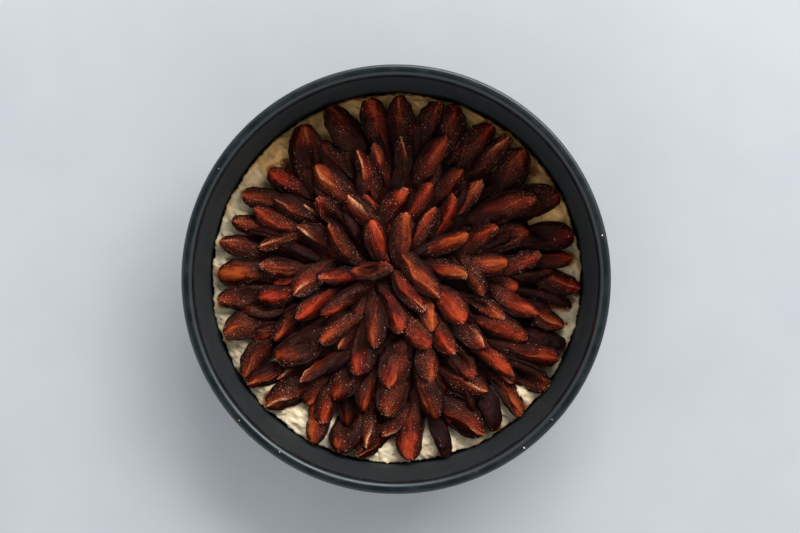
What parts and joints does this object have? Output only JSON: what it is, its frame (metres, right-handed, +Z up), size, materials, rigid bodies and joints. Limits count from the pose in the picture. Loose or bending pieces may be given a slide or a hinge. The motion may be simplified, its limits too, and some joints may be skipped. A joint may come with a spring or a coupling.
{
  "type": "damson tart",
  "caption": "Round tart of damson quarters standing in rings on a flat hand-pressed crust, in its deep round baking tin with a rolled rim.",
  "frame": {"origin": "middle of the tin's flat underside", "axes": "+Z up through the middle of the tin; +X and +Y across it, +Y towards the top of the picture"},
  "size_m": [0.254, 0.254, 0.07],
  "materials": {
    "tin_coating": "satin dark grey non-stick coating",
    "crust": "matt pale baked dough",
    "damson": "wet dark red-brown baked damson with near-black skin"
  },
  "bodies": {
    "root": {"tin": "tin_coating", "crust": "crust", "plums": "damson"}
  },
  "joints": []
}
